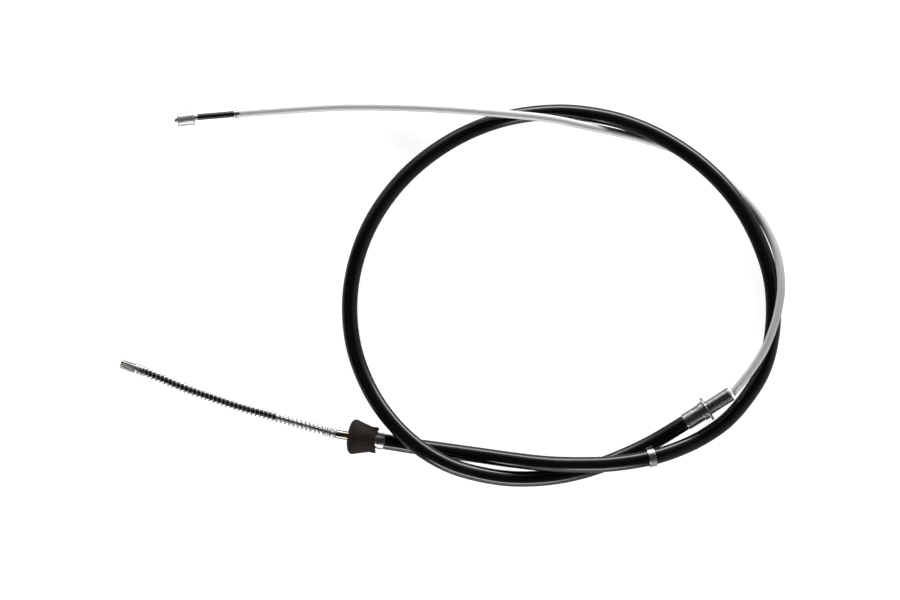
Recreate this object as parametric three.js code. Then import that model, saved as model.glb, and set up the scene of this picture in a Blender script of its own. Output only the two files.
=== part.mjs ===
import * as THREE from 'three';

// A car's rear parking brake cable, lying in one loose loop as it comes to rest on a flat surface.
// Millimetres, +Z up. The origin is on that surface, under the middle of the cable's outline.

// The route of the inner wire as [x, y, height], from the brake end to the lever end, chosen by hand.
// The heights follow how the cable lies on the surface and over itself.
const BRAKE_END_POINTS = [
  [-190.5, -39.3, 3.0], [-181.5, -42.5, 3.1], [-168.0, -47.8, 3.8], [-153.6, -53.7, 5.4], [-139.2, -58.8, 7.3],
  [-122.0, -64.6, 9.5], [-104.7, -69.5, 11.1], [-87.5, -74.4, 11.8], [-76.0, -77.7, 11.8], [-68.0, -79.9, 11.4],
  [-64.5, -80.5, 11.0],
];
const CONDUIT_POINTS = [
  [-32.3, -85.6, 7.4], [-24.3, -86.9, 6.2], [-7.1, -89.3, 4.9], [15.9, -92.5, 4.7], [36.1, -95.3, 5.8],
  [54.5, -97.3, 9.3], [73.4, -97.9, 13.4], [91.8, -97.3, 14.2], [115.1, -93.6, 12.4], [130.9, -88.4, 8.9],
  [143.6, -82.3, 5.8], [157.4, -72.7, 4.7], [170.0, -58.3, 4.6], [179.4, -41.8, 4.6], [184.3, -19.2, 4.6],
  [183.5, 7.8, 4.7], [175.2, 33.1, 5.9], [162.8, 54.4, 8.5], [147.1, 71.6, 9.6], [128.6, 85.5, 9.2],
  [108.0, 96.0, 7.5], [86.1, 102.4, 5.4], [59.7, 104.9, 4.6], [28.6, 100.6, 4.6], [-1.3, 87.9, 4.6],
  [-29.0, 65.9, 4.6], [-48.7, 37.1, 4.6], [-58.2, 4.9, 4.6], [-57.4, -26.1, 5.0], [-48.7, -52.0, 8.4],
  [-35.7, -72.1, 13.0], [-19.7, -87.5, 15.2], [-1.9, -97.9, 12.3], [15.9, -103.3, 7.6], [34.3, -105.9, 4.9],
  [57.4, -105.0, 4.6], [80.4, -99.9, 4.6], [110.0, -87.7, 4.9], [131.0, -75.5, 6.7], [134.4, -73.3, 6.9],
];
const LEVER_END_POINTS = [
  [158.6, -58.0, 8.4], [162.0, -55.6, 8.7], [167.8, -48.8, 9.3], [174.1, -40.5, 10.2], [179.4, -31.9, 11.2],
  [184.2, -20.4, 11.8], [187.5, -8.9, 11.6], [189.1, 2.6, 10.2], [188.6, 14.1, 8.0], [186.1, 25.6, 5.6],
  [181.2, 37.1, 3.6], [173.9, 48.6, 2.6], [163.2, 60.1, 2.5], [154.0, 68.5, 2.5], [142.5, 76.2, 2.5],
  [131.0, 82.0, 2.5], [119.5, 86.2, 2.6], [108.0, 89.7, 3.1], [96.5, 92.6, 4.7], [85.0, 95.1, 7.1],
  [73.5, 97.6, 9.3], [62.0, 100.1, 11.0], [50.5, 101.9, 11.8], [39.0, 103.1, 11.8], [27.5, 104.2, 11.0],
  [16.0, 105.1, 9.7], [-1.3, 106.4, 7.3], [-21.4, 107.4, 5.0], [-41.5, 107.9, 3.4], [-61.7, 107.9, 2.6],
  [-81.8, 107.0, 2.5], [-101.9, 105.6, 2.6], [-115.1, 104.7, 3.0], [-122.0, 104.1, 3.3], [-134.7, 103.0, 3.8],
  [-144.5, 102.2, 4.2], [-147.6, 101.8, 4.3], [-159.7, 100.2, 4.3],
];

// The wire and what is fixed on it
const WIRE_DIAMETER = 2.8;
const GRIP_GAP = 0.1;
const COATING_DIAMETER = 4.6;
const COATING_START_IN_CONDUIT = 10;
const WIRE_STANDOUT = 1.7;
const BRAKE_NIPPLE_DIAMETER = 5.8;
const BRAKE_NIPPLE_LENGTH = 9.2;
const BRAKE_NIPPLE_RIBS = 10;
const BRAKE_NIPPLE_RIB_DEPTH = 0.3;
const BRAKE_SLEEVE_DIAMETER = 3.5;
const BRAKE_SLEEVE_LENGTH = 83;
const BRAKE_SLEEVE_SETBACK = 3;
const LEVER_NIPPLE_DIAMETER = 7.6;
const LEVER_NIPPLE_LENGTH = 9.9;
const LEVER_NIPPLE_CHAMFER = 0.5;
const LEVER_NIPPLE_RIM_DIAMETER = 8.2;
const LEVER_NIPPLE_RIM_LENGTH = 1.4;
const LEVER_NIPPLE_COUNTERSINK = 0.5;
const BARE_NECK_LENGTH = 1.7;
const LEVER_SLEEVE_DIAMETER = 3.6;
const LEVER_SLEEVE_LENGTH = 21;
const COLLAR_DIAMETER = 4.9;
const COLLAR_LENGTH = 2.8;
const COLLAR_GROOVE_DEPTH = 0.4;
const COLLAR_GROOVE_WIDTH = 0.5;

// The return spring and its seat
const SPRING_WIRE_DIAMETER = 0.9;
const SPRING_MEAN_DIAMETER = 4.8;
const SPRING_CLOSED_TURNS = 3.5;
const SPRING_CLOSED_PITCH = 1.4;
const SPRING_OPEN_TURNS = 43;
const SEAT_DIAMETER = 6.0;
const SEAT_THICKNESS = 1;

// The conduit's layers
const JACKET_DIAMETER = 9;
const JACKET_WALL = 0.8;
const LAYER_GAP = 0.15;
const ARMOUR_WALL = 0.6;
const LINER_WALL = 0.35;

// The fittings at the brake end
const GUIDE_TUBE_DIAMETER = 5;
const GUIDE_TUBE_LENGTH = 22.4;
const GUIDE_TUBE_WALL = 0.6;
const GROMMET_OVER_FERRULE = 3.3;
const GROMMET_LENGTH = 17.3;
const GROMMET_DIAMETER = 20.4;
const GROMMET_FACE_BULGE = 2.4;
const GROMMET_RIM_ROUNDING = 1.5;
const GROMMET_NECK_DIAMETER = 14.6;
const GROMMET_LIP_DIAMETER = 15.4;
const GROMMET_LIP_LENGTH = 2.2;
const GROMMET_LIP_WALL = 1.6;
const GROMMET_CAVITY_DEPTH = 5.5;
const GROMMET_SCALLOP = 2.4;
const BRAKE_FERRULE_AT = 151.8;
const BRAKE_FERRULE_LENGTH = 6.9;
const BRAKE_FERRULE_DIAMETER = 9.7;
const BRAKE_FERRULE_RIM_DIAMETER = 10.4;
const BRAKE_FERRULE_RIM_LENGTH = 1.6;
const FERRULE_END_WALL = 1.2;

// The marker band on the conduit
const BAND_AT = 315.1;
const BAND_WIDTH = 4.2;
const BAND_THICKNESS = 0.6;

// The fittings at the lever end
const LEVER_FERRULE_AT = 1063;
const LEVER_FERRULE_DIAMETER = 9.9;
const LEVER_FERRULE_CRIMP_LENGTH = 11;
const LEVER_FERRULE_COLLAR_DIAMETER = 10.8;
const LEVER_FERRULE_COLLAR_LENGTH = 2.7;
const FLANGE_DIAMETER = 14.6;
const FLANGE_THICKNESS = 1.1;
const LEVER_TUBE_DIAMETER = 8.3;
const LEVER_TUBE_WALL = 0.75;
const LEVER_TUBE_STANDOUT = 15.6;
const BUSH_HEAD_LENGTH = 1.3;
const BUSH_HEAD_SETBACK = 0.3;
const BUSH_STEM_LENGTH = 5;
const BUSH_WIRE_GAP = 0.45;

// Gaps that separate pieces need, and how finely the round ones are cut into flats
const FACE_GAP = 0.3;
const FIT_GAP = 0.2;
const CORD_SIDES = 8;
const FITTING_SIDES = 20;
const SPRING_SIDES = 4;
const SPRING_STEPS_PER_TURN = 8;
const LARGEST_TURN = THREE.MathUtils.degToRad(13);
const LARGEST_STEP = 24;

// Colours, roughness and metalness
const STEEL = new THREE.MeshStandardMaterial({ color: 0xb9bcc0, roughness: 0.35, metalness: 1 });
const WIRE_STEEL = new THREE.MeshStandardMaterial({ color: 0x8f979f, roughness: 0.45, metalness: 1 });
const BLACK_PLASTIC = new THREE.MeshStandardMaterial({ color: 0x101010, roughness: 0.3, metalness: 0 });
const BLACK_RUBBER = new THREE.MeshStandardMaterial({ color: 0x2a2523, roughness: 0.8, metalness: 0 });
const PALE_PLASTIC = new THREE.MeshStandardMaterial({ color: 0xc9c9cd, roughness: 0.4, metalness: 0 });

// The route and places on it
const UP = new THREE.Vector3(0, 0, 1);
const routePoints = [...BRAKE_END_POINTS, ...CONDUIT_POINTS, ...LEVER_END_POINTS];
const routeVectors = routePoints.map((point) => new THREE.Vector3(...point));
const route = new THREE.CatmullRomCurve3(routeVectors, false, 'centripetal');
route.arcLengthDivisions = 6000;
const routeLength = route.getLength();

const guideTubeEnd = BRAKE_FERRULE_AT + FERRULE_END_WALL;
const guideTubeStart = guideTubeEnd - GUIDE_TUBE_LENGTH;
const seatStart = guideTubeStart - FACE_GAP - SEAT_THICKNESS;
const springStart = BRAKE_NIPPLE_LENGTH + FACE_GAP;
const springEnd = seatStart - FACE_GAP;
const brakeSleeveStart = BRAKE_NIPPLE_LENGTH + BRAKE_SLEEVE_SETBACK;
const brakeSleeveEnd = brakeSleeveStart + BRAKE_SLEEVE_LENGTH;
const grommetStart = BRAKE_FERRULE_AT + GROMMET_OVER_FERRULE - GROMMET_LENGTH;
const armourStart = guideTubeEnd + FACE_GAP;
const jacketStart = BRAKE_FERRULE_AT + BRAKE_FERRULE_LENGTH + FACE_GAP;
const coatingStart = armourStart + COATING_START_IN_CONDUIT;
const jacketEnd = LEVER_FERRULE_AT - FACE_GAP;
const armourEnd = LEVER_FERRULE_AT + LEVER_FERRULE_CRIMP_LENGTH - FERRULE_END_WALL - FACE_GAP;
const leverFerruleLength = LEVER_FERRULE_CRIMP_LENGTH + LEVER_FERRULE_COLLAR_LENGTH;
const flangeStart = LEVER_FERRULE_AT + leverFerruleLength + FACE_GAP;
const leverTubeStart = LEVER_FERRULE_AT + LEVER_FERRULE_CRIMP_LENGTH + FACE_GAP;
const leverTubeEnd = flangeStart + FLANGE_THICKNESS + LEVER_TUBE_STANDOUT;
const leverNippleEnd = routeLength - WIRE_STANDOUT;
const leverNippleStart = leverNippleEnd - LEVER_NIPPLE_LENGTH;
const leverSleeveEnd = leverNippleStart - BARE_NECK_LENGTH;
const leverSleeveStart = leverSleeveEnd - LEVER_SLEEVE_LENGTH;
const collarStart = leverSleeveStart - FACE_GAP - COLLAR_LENGTH;
const coatingEnd = collarStart - FACE_GAP;
const bandStart = BAND_AT - BAND_WIDTH / 2;
const bandEnd = BAND_AT + BAND_WIDTH / 2;

// Where the cross-sections of the tubes and the wire lie. All of them share these places, so that tubes
// inside each other keep their gap, and they lie closer together where the route bends more.
const marks = [
  0, brakeSleeveStart, brakeSleeveEnd, armourStart, jacketStart, coatingStart, bandStart, bandEnd,
  jacketEnd, armourEnd, coatingEnd, leverSleeveStart, leverSleeveEnd, routeLength,
];

function frameAt(distance) {
  const share = THREE.MathUtils.clamp(distance / routeLength, 0, 1);
  const point = route.getPointAt(share);
  const along = route.getTangentAt(share);
  const side = new THREE.Vector3().crossVectors(UP, along).normalize();
  const up = new THREE.Vector3().crossVectors(along, side);
  return { point, along, side, up };
}

function sectionsBetweenMarks(from, to) {
  const samples = Math.ceil(to - from) * 2;
  const effort = [0];
  let last = frameAt(from).along;
  for (let i = 1; i <= samples; i += 1) {
    const along = frameAt(from + ((to - from) * i) / samples).along;
    const step = (to - from) / samples / LARGEST_STEP;
    effort.push(effort[i - 1] + Math.max(step, along.angleTo(last) / LARGEST_TURN));
    last = along;
  }
  const count = Math.ceil(effort[samples]);
  const places = [];
  for (let k = 0; k < count; k += 1) {
    const wanted = (effort[samples] * k) / count;
    const i = Math.max(1, effort.findIndex((value) => value >= wanted));
    const within = (wanted - effort[i - 1]) / (effort[i] - effort[i - 1]);
    places.push(from + ((to - from) * (i - 1 + within)) / samples);
  }
  return places;
}

const places = [];
for (let i = 1; i < marks.length; i += 1) places.push(...sectionsBetweenMarks(marks[i - 1], marks[i]));
places.push(routeLength);

function framesBetween(from, to) {
  const within = places.filter((place) => place >= from && place <= to);
  return within.map(frameAt);
}

// A path that is given by its frames, for sweeping a section along it
class FramedPath extends THREE.Curve {
  constructor(frames) {
    super();
    this.frames = frames;
  }

  getSpacedPoints() {
    return this.frames.map((frame) => frame.point);
  }

  computeFrenetFrames() {
    return {
      tangents: this.frames.map((frame) => frame.along),
      normals: this.frames.map((frame) => frame.side),
      binormals: this.frames.map((frame) => frame.up),
    };
  }
}

function polygon(diameter, sides) {
  const points = [];
  for (let i = 0; i < sides; i += 1) {
    const angle = (2 * Math.PI * i) / sides;
    points.push(new THREE.Vector2(Math.cos(angle), Math.sin(angle)).multiplyScalar(diameter / 2));
  }
  return points;
}

function sweep(outline, hole, frames) {
  const section = new THREE.Shape(outline);
  if (hole) section.holes.push(new THREE.Path(hole));
  const options = { extrudePath: new FramedPath(frames), steps: frames.length - 1 };
  return new THREE.ExtrudeGeometry(section, options);
}

function tube(diameter, bore, from, to) {
  return sweep(polygon(diameter, CORD_SIDES), polygon(bore, CORD_SIDES), framesBetween(from, to));
}

// A turned piece, from its outline as [distance along the axis, diameter]. The axis is +X.
function turned(outline) {
  const loop = [...outline, outline[0]];
  const profile = loop.map(([along, diameter]) => new THREE.Vector2(diameter / 2, along));
  return new THREE.LatheGeometry(profile, FITTING_SIDES).rotateZ(-Math.PI / 2);
}

// A bore cut into flats is narrowest across them, so it is widened to clear a round of this diameter
function boreOver(diameter) {
  return (diameter + 2 * FIT_GAP) / Math.cos(Math.PI / FITTING_SIDES);
}

const cable = new THREE.Group();

function add(name, geometry, material) {
  const mesh = new THREE.Mesh(geometry, material);
  mesh.name = name;
  cable.add(mesh);
  return mesh;
}

// Stands a piece whose axis is +X on the route, its own start at this distance
function addOnRoute(name, geometry, material, distance, length) {
  const mesh = add(name, geometry, material);
  const { along, side, up } = frameAt(distance + length / 2);
  mesh.position.copy(frameAt(distance + length / 2).point).addScaledVector(along, -length / 2);
  mesh.quaternion.setFromRotationMatrix(new THREE.Matrix4().makeBasis(along, side, up));
  return mesh;
}

const gripBore = WIRE_DIAMETER + 2 * GRIP_GAP;

function addInnerWire() {
  const frames = framesBetween(0, routeLength);
  add('inner_wire', sweep(polygon(WIRE_DIAMETER, CORD_SIDES), null, frames), WIRE_STEEL);
}

function addBrakeEndNipple() {
  const outline = polygon(BRAKE_NIPPLE_DIAMETER, 2 * BRAKE_NIPPLE_RIBS);
  outline.forEach((point, i) => {
    if (i % 2 === 1) point.setLength(BRAKE_NIPPLE_DIAMETER / 2 - BRAKE_NIPPLE_RIB_DEPTH);
  });
  const section = new THREE.Shape(outline);
  section.holes.push(new THREE.Path(polygon(boreOver(WIRE_DIAMETER), FITTING_SIDES)));
  const options = { depth: BRAKE_NIPPLE_LENGTH, bevelEnabled: false };
  const geometry = new THREE.ExtrudeGeometry(section, options).rotateY(Math.PI / 2);
  addOnRoute('brake_end_nipple', geometry, STEEL, 0, BRAKE_NIPPLE_LENGTH);
}

function springFrames() {
  const closedLength = SPRING_CLOSED_TURNS * SPRING_CLOSED_PITCH;
  const firstCentre = springStart + SPRING_WIRE_DIAMETER / 2;
  const lastCentre = springEnd - SPRING_WIRE_DIAMETER / 2;
  const openPitch = (lastCentre - firstCentre - 2 * closedLength) / SPRING_OPEN_TURNS;
  const turns = 2 * SPRING_CLOSED_TURNS + SPRING_OPEN_TURNS;
  const radius = SPRING_MEAN_DIAMETER / 2;
  const steps = Math.round(turns * SPRING_STEPS_PER_TURN);
  const frames = [];
  for (let i = 0; i <= steps; i += 1) {
    const turn = (turns * i) / steps;
    const opened = THREE.MathUtils.clamp(turn - SPRING_CLOSED_TURNS, 0, SPRING_OPEN_TURNS);
    const pitch = opened > 0 && opened < SPRING_OPEN_TURNS ? openPitch : SPRING_CLOSED_PITCH;
    const distance = firstCentre + (turn - opened) * SPRING_CLOSED_PITCH + opened * openPitch;
    const { point, along, side, up } = frameAt(distance);
    const angle = 2 * Math.PI * turn;
    const outward = side.clone().multiplyScalar(Math.cos(angle)).addScaledVector(up, Math.sin(angle));
    const round = side.clone().multiplyScalar(-Math.sin(angle)).addScaledVector(up, Math.cos(angle));
    const forward = round.multiplyScalar(2 * Math.PI * radius).addScaledVector(along, pitch).normalize();
    frames.push({
      point: point.addScaledVector(outward, radius),
      along: forward,
      side: outward,
      up: new THREE.Vector3().crossVectors(forward, outward),
    });
  }
  return frames;
}

function addReturnSpring() {
  const section = polygon(SPRING_WIRE_DIAMETER, SPRING_SIDES);
  add('return_spring', sweep(section, null, springFrames()), STEEL);
}

function addWireSleeves() {
  const brakeSleeve = tube(BRAKE_SLEEVE_DIAMETER, gripBore, brakeSleeveStart, brakeSleeveEnd);
  add('brake_end_wire_sleeve', brakeSleeve, BLACK_PLASTIC);
  const leverSleeve = tube(LEVER_SLEEVE_DIAMETER, gripBore, leverSleeveStart, leverSleeveEnd);
  add('lever_end_sleeve', leverSleeve, BLACK_PLASTIC);
}

function addWireCoating() {
  add('wire_coating', tube(COATING_DIAMETER, gripBore, coatingStart, coatingEnd), PALE_PLASTIC);
}

function addSpringSeat() {
  const bore = boreOver(WIRE_DIAMETER);
  const outline = [
    [0, bore], [0, SEAT_DIAMETER], [SEAT_THICKNESS, SEAT_DIAMETER], [SEAT_THICKNESS, bore],
  ];
  addOnRoute('spring_seat_washer', turned(outline), STEEL, seatStart, SEAT_THICKNESS);
}

function addGuideTube() {
  const length = GUIDE_TUBE_LENGTH;
  const bore = GUIDE_TUBE_DIAMETER - 2 * GUIDE_TUBE_WALL;
  const outline = [[0, bore], [0, GUIDE_TUBE_DIAMETER], [length, GUIDE_TUBE_DIAMETER], [length, bore]];
  addOnRoute('guide_tube', turned(outline), STEEL, guideTubeStart, length);
}

function addGrommet() {
  const bore = boreOver(GUIDE_TUBE_DIAMETER);
  const lipStart = GROMMET_LENGTH - GROMMET_LIP_LENGTH;
  const cavity = GROMMET_LIP_DIAMETER - 2 * GROMMET_LIP_WALL;
  const faceFlat = (bore + GROMMET_DIAMETER) / 3;
  const outline = [
    [0, bore],
    [0, faceFlat],
    [GROMMET_FACE_BULGE / 2, GROMMET_DIAMETER - 2 * GROMMET_RIM_ROUNDING],
    [GROMMET_FACE_BULGE, GROMMET_DIAMETER - GROMMET_RIM_ROUNDING / 2],
    [GROMMET_FACE_BULGE + GROMMET_RIM_ROUNDING, GROMMET_DIAMETER],
    [lipStart, GROMMET_NECK_DIAMETER],
    [lipStart + GROMMET_LIP_LENGTH / 2, GROMMET_LIP_DIAMETER],
    [GROMMET_LENGTH, GROMMET_LIP_DIAMETER - GROMMET_LIP_WALL / 2],
    [GROMMET_LENGTH, cavity],
    [GROMMET_LENGTH - GROMMET_CAVITY_DEPTH, cavity],
    [GROMMET_LENGTH - GROMMET_CAVITY_DEPTH, bore],
  ];
  const geometry = turned(outline);
  const position = geometry.getAttribute('position');
  for (let i = 0; i < position.count; i += 1) {
    const past = (position.getX(i) - lipStart) / GROMMET_LIP_LENGTH;
    const facing = position.getZ(i) ** 2 / (position.getY(i) ** 2 + position.getZ(i) ** 2);
    if (past > 0) position.setX(i, position.getX(i) - past * GROMMET_SCALLOP * facing);
  }
  addOnRoute('rubber_grommet', geometry, BLACK_RUBBER, grommetStart, GROMMET_LENGTH);
}

const armourDiameter = JACKET_DIAMETER - 2 * JACKET_WALL - 2 * LAYER_GAP;
const linerDiameter = armourDiameter - 2 * ARMOUR_WALL - 2 * LAYER_GAP;

function addBrakeEndFerrule() {
  const tubeBore = boreOver(GUIDE_TUBE_DIAMETER);
  const armourBore = boreOver(armourDiameter);
  const outline = [
    [0, tubeBore],
    [0, BRAKE_FERRULE_RIM_DIAMETER],
    [BRAKE_FERRULE_RIM_LENGTH, BRAKE_FERRULE_RIM_DIAMETER],
    [BRAKE_FERRULE_RIM_LENGTH, BRAKE_FERRULE_DIAMETER],
    [BRAKE_FERRULE_LENGTH, BRAKE_FERRULE_DIAMETER],
    [BRAKE_FERRULE_LENGTH, armourBore],
    [FERRULE_END_WALL, armourBore],
    [FERRULE_END_WALL, tubeBore],
  ];
  addOnRoute('brake_end_ferrule', turned(outline), STEEL, BRAKE_FERRULE_AT, BRAKE_FERRULE_LENGTH);
}

function addConduit() {
  const jacketBore = JACKET_DIAMETER - 2 * JACKET_WALL;
  add('conduit_jacket', tube(JACKET_DIAMETER, jacketBore, jacketStart, jacketEnd), BLACK_PLASTIC);
  const armourBore = armourDiameter - 2 * ARMOUR_WALL;
  add('conduit_armour', tube(armourDiameter, armourBore, armourStart, armourEnd), WIRE_STEEL);
  const linerBore = linerDiameter - 2 * LINER_WALL;
  add('conduit_liner', tube(linerDiameter, linerBore, armourStart, armourEnd), PALE_PLASTIC);
}

function addMarkerBand() {
  const bore = boreOver(JACKET_DIAMETER);
  const diameter = bore + 2 * BAND_THICKNESS;
  const outline = [[0, bore], [0, diameter], [BAND_WIDTH, diameter], [BAND_WIDTH, bore]];
  addOnRoute('marker_band', turned(outline), STEEL, bandStart, BAND_WIDTH);
}

function addLeverEndFerrule() {
  const armourBore = boreOver(armourDiameter);
  const tubeBore = boreOver(LEVER_TUBE_DIAMETER);
  const throat = boreOver(linerDiameter);
  const throatStart = LEVER_FERRULE_CRIMP_LENGTH - FERRULE_END_WALL;
  const outline = [
    [0, armourBore],
    [0, LEVER_FERRULE_DIAMETER],
    [LEVER_FERRULE_CRIMP_LENGTH, LEVER_FERRULE_DIAMETER],
    [LEVER_FERRULE_CRIMP_LENGTH, LEVER_FERRULE_COLLAR_DIAMETER],
    [leverFerruleLength, LEVER_FERRULE_COLLAR_DIAMETER],
    [leverFerruleLength, tubeBore],
    [LEVER_FERRULE_CRIMP_LENGTH, tubeBore],
    [LEVER_FERRULE_CRIMP_LENGTH, throat],
    [throatStart, throat],
    [throatStart, armourBore],
  ];
  addOnRoute('lever_end_ferrule', turned(outline), STEEL, LEVER_FERRULE_AT, leverFerruleLength);
}

function addFlange() {
  const bore = boreOver(LEVER_TUBE_DIAMETER);
  const outline = [
    [0, bore], [0, FLANGE_DIAMETER], [FLANGE_THICKNESS, FLANGE_DIAMETER], [FLANGE_THICKNESS, bore],
  ];
  addOnRoute('lever_end_flange', turned(outline), STEEL, flangeStart, FLANGE_THICKNESS);
}

function addLeverEndGuideTube() {
  const length = leverTubeEnd - leverTubeStart;
  const bore = LEVER_TUBE_DIAMETER - 2 * LEVER_TUBE_WALL;
  const outline = [[0, bore], [0, LEVER_TUBE_DIAMETER], [length, LEVER_TUBE_DIAMETER], [length, bore]];
  addOnRoute('lever_end_guide_tube', turned(outline), STEEL, leverTubeStart, length);
}

function addBush() {
  const bore = boreOver(COATING_DIAMETER) + 2 * BUSH_WIRE_GAP;
  const stem = LEVER_TUBE_DIAMETER - 2 * LEVER_TUBE_WALL - 2 * FIT_GAP;
  const head = LEVER_TUBE_DIAMETER - 2 * BUSH_HEAD_SETBACK;
  const headStart = BUSH_STEM_LENGTH + FACE_GAP;
  const length = headStart + BUSH_HEAD_LENGTH;
  const outline = [
    [0, bore], [0, stem], [headStart, stem], [headStart, head], [length, head], [length, bore],
  ];
  addOnRoute('lever_end_bush', turned(outline), PALE_PLASTIC, leverTubeEnd - BUSH_STEM_LENGTH, length);
}

function addCoatingEndCollar() {
  const bore = boreOver(WIRE_DIAMETER);
  const groove = COLLAR_DIAMETER - 2 * COLLAR_GROOVE_DEPTH;
  const third = (COLLAR_LENGTH - 2 * COLLAR_GROOVE_WIDTH) / 3;
  const outline = [[0, bore], [0, COLLAR_DIAMETER]];
  for (let i = 1; i <= 2; i += 1) {
    const start = third * i + COLLAR_GROOVE_WIDTH * (i - 1);
    const end = start + COLLAR_GROOVE_WIDTH;
    outline.push([start, COLLAR_DIAMETER], [start, groove], [end, groove], [end, COLLAR_DIAMETER]);
  }
  outline.push([COLLAR_LENGTH, COLLAR_DIAMETER], [COLLAR_LENGTH, bore]);
  addOnRoute('coating_end_collar', turned(outline), STEEL, collarStart, COLLAR_LENGTH);
}

function addLeverEndNipple() {
  const bore = boreOver(WIRE_DIAMETER);
  const face = LEVER_NIPPLE_DIAMETER - 2 * LEVER_NIPPLE_CHAMFER;
  const outline = [
    [0, bore + 2 * LEVER_NIPPLE_COUNTERSINK],
    [0, LEVER_NIPPLE_RIM_DIAMETER],
    [LEVER_NIPPLE_RIM_LENGTH, LEVER_NIPPLE_RIM_DIAMETER],
    [LEVER_NIPPLE_RIM_LENGTH, LEVER_NIPPLE_DIAMETER],
    [LEVER_NIPPLE_LENGTH - LEVER_NIPPLE_CHAMFER, LEVER_NIPPLE_DIAMETER],
    [LEVER_NIPPLE_LENGTH, face],
    [LEVER_NIPPLE_LENGTH, bore],
    [LEVER_NIPPLE_COUNTERSINK, bore],
  ];
  addOnRoute('lever_end_nipple', turned(outline), STEEL, leverNippleStart, LEVER_NIPPLE_LENGTH);
}

addInnerWire();
addBrakeEndNipple();
addReturnSpring();
addWireSleeves();
addWireCoating();
addSpringSeat();
addGuideTube();
addGrommet();
addBrakeEndFerrule();
addConduit();
addMarkerBand();
addLeverEndFerrule();
addFlange();
addLeverEndGuideTube();
addBush();
addCoatingEndCollar();
addLeverEndNipple();

export default cable;
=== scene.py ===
import math

import bpy
import numpy as np
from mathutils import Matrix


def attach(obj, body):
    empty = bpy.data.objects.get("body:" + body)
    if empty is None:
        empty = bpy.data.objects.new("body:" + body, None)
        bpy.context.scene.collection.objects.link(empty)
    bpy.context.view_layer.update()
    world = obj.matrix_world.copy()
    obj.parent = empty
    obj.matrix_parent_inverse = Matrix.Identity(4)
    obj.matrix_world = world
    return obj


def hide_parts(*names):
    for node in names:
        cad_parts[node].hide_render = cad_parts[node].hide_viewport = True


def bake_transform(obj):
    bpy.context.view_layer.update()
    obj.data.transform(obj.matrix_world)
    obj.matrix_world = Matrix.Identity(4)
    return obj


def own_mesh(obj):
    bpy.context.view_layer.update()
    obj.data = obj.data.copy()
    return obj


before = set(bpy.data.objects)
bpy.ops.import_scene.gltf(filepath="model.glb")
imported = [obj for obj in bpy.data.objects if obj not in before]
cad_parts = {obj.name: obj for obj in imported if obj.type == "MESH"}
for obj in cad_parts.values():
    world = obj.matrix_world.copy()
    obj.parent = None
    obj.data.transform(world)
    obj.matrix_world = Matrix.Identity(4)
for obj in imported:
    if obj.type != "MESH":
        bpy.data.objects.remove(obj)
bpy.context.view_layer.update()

# A rear parking brake cable, lying in one loose loop on a white floor and seen from straight above.
# Metres, +Z up. The origin is on the floor, under the middle of the cable's outline.
MM = 0.001
PICTURE_WIDTH = 900
PICTURE_HEIGHT = 600
PIXEL = 0.575 * MM
CENTRE_PIXEL = (452.23, 294.53)
CAMERA_HEIGHT = 1.5

# The route of the inner wire in millimetres, from the brake end to the lever end
BRAKE_END_POINTS = [
    (-190.5, -39.3, 3.0), (-181.5, -42.5, 3.1), (-168.0, -47.8, 3.8), (-153.6, -53.7, 5.4),
    (-139.2, -58.8, 7.3), (-122.0, -64.6, 9.5), (-104.7, -69.5, 11.1), (-87.5, -74.4, 11.8),
    (-76.0, -77.7, 11.8), (-68.0, -79.9, 11.4), (-64.5, -80.5, 11.0),
]
CONDUIT_POINTS = [
    (-32.3, -85.6, 7.4), (-24.3, -86.9, 6.2), (-7.1, -89.3, 4.9), (15.9, -92.5, 4.7), (36.1, -95.3, 5.8),
    (54.5, -97.3, 9.3), (73.4, -97.9, 13.4), (91.8, -97.3, 14.2), (115.1, -93.6, 12.4),
    (130.9, -88.4, 8.9), (143.6, -82.3, 5.8), (157.4, -72.7, 4.7), (170.0, -58.3, 4.6),
    (179.4, -41.8, 4.6), (184.3, -19.2, 4.6), (183.5, 7.8, 4.7), (175.2, 33.1, 5.9), (162.8, 54.4, 8.5),
    (147.1, 71.6, 9.6), (128.6, 85.5, 9.2), (108.0, 96.0, 7.5), (86.1, 102.4, 5.4), (59.7, 104.9, 4.6),
    (28.6, 100.6, 4.6), (-1.3, 87.9, 4.6), (-29.0, 65.9, 4.6), (-48.7, 37.1, 4.6), (-58.2, 4.9, 4.6),
    (-57.4, -26.1, 5.0), (-48.7, -52.0, 8.4), (-35.7, -72.1, 13.0), (-19.7, -87.5, 15.2),
    (-1.9, -97.9, 12.3), (15.9, -103.3, 7.6), (34.3, -105.9, 4.9), (57.4, -105.0, 4.6),
    (80.4, -99.9, 4.6), (110.0, -87.7, 4.9), (131.0, -75.5, 6.7), (134.4, -73.3, 6.9),
]
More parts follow.
